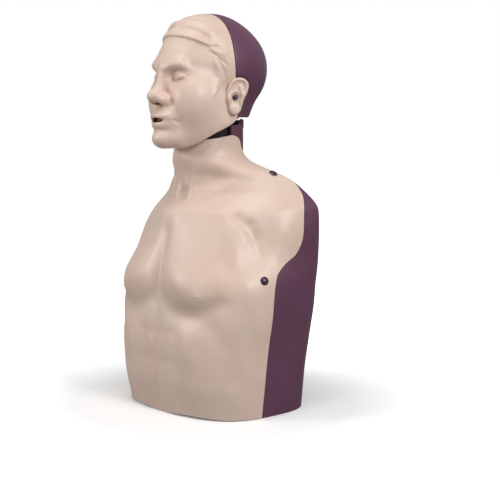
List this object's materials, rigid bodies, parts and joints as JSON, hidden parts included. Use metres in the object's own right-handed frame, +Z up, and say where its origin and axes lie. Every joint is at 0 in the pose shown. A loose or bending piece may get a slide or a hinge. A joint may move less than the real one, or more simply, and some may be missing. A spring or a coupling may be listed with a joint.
{
  "type": "cpr training manikin",
  "caption": "Half-body resuscitation manikin: head on a nape hinge that tilts back, sprung chest that presses in, pale vinyl skins clipped over purple moulded shells.",
  "frame": {"origin": "centre of the bounding box at the base plane the torso stands on", "axes": "+X to the manikin's left, +Y from the chest to the back, +Z up from the base to the crown"},
  "size_m": [0.3418, 0.27, 0.6562],
  "materials": {
    "purple_shell": "matte, lightly grained",
    "purple_peg": "satin",
    "skin": "soft satin vinyl",
    "steel": "brushed",
    "spring_steel": "oiled",
    "dark_plastic": "matte",
    "grey_plastic": "matte",
    "white_plastic": "matte",
    "rubber": "matte",
    "bag": "thin translucent film",
    "hose": "soft"
  },
  "bodies": {
    "torso": {"back_shell": "purple_shell", "chest_skin": "skin", "side_studs": "purple_peg", "shoulder_studs": "purple_peg", "neck_post": "purple_shell", "hinge_pin": "purple_peg", "neck_column": "dark_plastic", "base_plate": "grey_plastic", "base_screws": "steel", "guide_cylinder": "grey_plastic", "cylinder_screws": "steel", "stop_bumper": "rubber", "depth_clicker": "white_plastic", "lung_bag": "bag", "airway_hose": "hose", "compression_spring": "spring_steel"},
    "plunger": {"chest_plate": "white_plastic", "plunger_tube": "white_plastic", "plate_screws": "steel"},
    "head": {"head_shell": "purple_shell", "face_skin": "skin", "skull_front": "white_plastic", "ear_studs": "purple_peg", "mouth_duct": "dark_plastic", "tilt_bracket": "purple_shell", "skull_screws": "steel"}
  },
  "joints": [
    {"name": "head_tilt", "type": "hinge", "parent": "torso", "child": "head", "pos_m": [0, 0.03378, 0.479], "axis": [-1, 0, 0], "range_deg": [0, 30], "deforming": ["airway_hose"]},
    {"name": "chest_press", "type": "slide", "parent": "torso", "child": "plunger", "axis": [0, 1, 0], "range_m": [0, 0.055], "stiffness_N_per_m": 8000, "springref_m": -0.006, "deforming": ["compression_spring", "chest_skin", "lung_bag"]}
  ]
}
